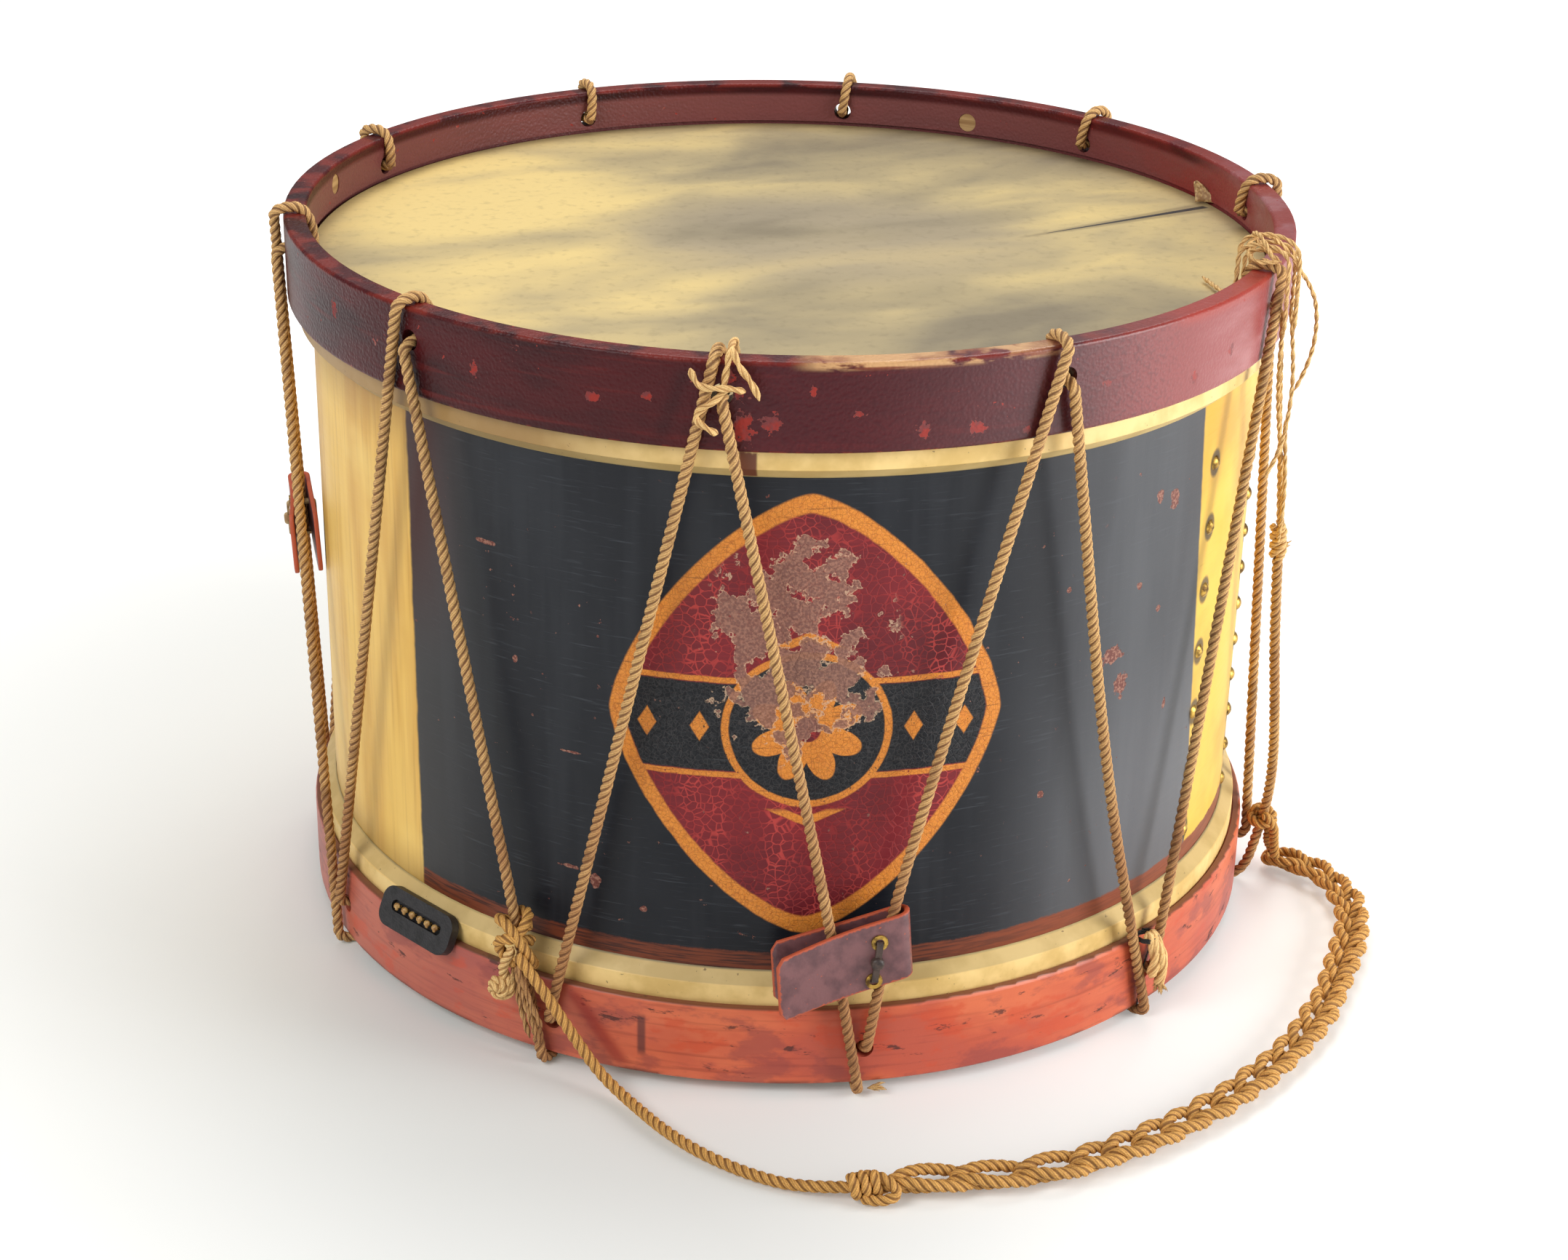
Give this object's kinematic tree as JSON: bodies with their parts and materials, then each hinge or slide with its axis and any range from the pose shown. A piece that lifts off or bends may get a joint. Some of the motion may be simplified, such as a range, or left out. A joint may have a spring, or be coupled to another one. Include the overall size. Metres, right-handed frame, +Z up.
{
  "type": "rope-tension field drum",
  "caption": "Old rope-tension field drum with painted shell, calfskin heads, wooden hoops, leather tug ears and a plaited drag rope, standing on its snare side.",
  "frame": {"origin": "on the floor under the middle of the shell, level with the flats under the bottom rope bights", "axes": "+Z up through the shell from the snare side to the batter side, -Y out of the painted front, +X to the right as the front is looked at"},
  "size_m": [0.4931, 0.5135, 0.3276],
  "materials": {
    "shell_varnished_maple": "aged amber varnish with dark vertical streaks, and a painted blue-black front panel with a brown-red stripe",
    "pale_wood": "bare, unvarnished",
    "calfskin": "translucent calfskin, mottled olive and gold, pale on its rim",
    "oxblood_hoop_paint": "dark oxblood paint, glossy, finely crazed, worn to the wood at its edges",
    "red_hoop_paint": "orange-red paint with a dull bloom and dark marks",
    "hemp_rope": "three-strand hemp, golden tan with brown grooves",
    "drag_rope": "waxed three-strand hemp, golden orange",
    "ear_leather": "purplish brown harness leather with worn orange-red edges",
    "thong_leather": "tan rawhide lace, darkened",
    "black_leather": "black, slightly glossy",
    "gut": "twisted gut, translucent tan",
    "brass": "aged, darkened in the hollows",
    "iron": "dark, slightly rusted"
  },
  "bodies": {
    "drum": {"shell": "shell_varnished_maple", "seam_tacks": "brass", "batter_glue_ring": "pale_wood", "snare_glue_ring": "pale_wood", "vent_grommet": "brass", "batter_head": "calfskin", "batter_flesh_hoop": "pale_wood", "snare_head": "calfskin", "snare_flesh_hoop": "pale_wood", "top_counterhoop": "oxblood_hoop_paint", "hoop_plugs": "pale_wood", "bottom_counterhoop": "red_hoop_paint", "rope_legs": "hemp_rope", "front_vee_rope": "hemp_rope", "top_bights": "hemp_rope", "bottom_bights": "hemp_rope", "mend_cord": "hemp_rope", "mend_rope": "hemp_rope", "mend_splice": "hemp_rope", "mend_strands": "hemp_rope", "snare_butt": "black_leather", "snares": "gut", "strainer_plate": "brass", "strainer_screws": "iron", "drag_hitches": "drag_rope", "drag_rope_lead": "drag_rope", "drag_rope_tail": "drag_rope", "drag_rope_plait": "drag_rope", "plait_tie": "drag_rope"},
    "front_tug": {"front_ear": "ear_leather", "front_ear_eyelets": "brass", "front_ear_thong": "thong_leather"},
    "left_tug": {"left_ear": "ear_leather", "left_ear_eyelets": "brass", "left_ear_thong": "thong_leather"},
    "thumb_nut": {"strainer_nut": "brass"},
    "snare_comb": {"strainer_hook": "brass"}
  },
  "joints": [
    {"name": "front_ear_slide", "type": "slide", "parent": "drum", "child": "front_tug", "axis": [0.2458, 0.0831, 0.9658], "range_m": [-0.006, 0.045], "deforming": ["front_vee_rope"]},
    {"name": "left_ear_slide", "type": "slide", "parent": "drum", "child": "left_tug", "axis": [0.0065, -0.2189, 0.9757], "range_m": [-0.015, 0.028]},
    {"name": "strainer_nut_turn", "type": "hinge", "parent": "drum", "child": "thumb_nut", "pos_m": [0.15282, 0.15826, 0.0187], "axis": [-0.6947, -0.7193, 0], "range_deg": [0, 1080]},
    {"name": "snare_comb_slide", "type": "slide", "parent": "drum", "child": "snare_comb", "axis": [0.6947, 0.7193, 0], "range_m": [0, 0.003], "deforming": ["snares"]}
  ],
  "couplings": [
    {"joint": "snare_comb_slide", "follows": "strainer_nut_turn", "m_per_rad": 0.00015915}
  ]
}
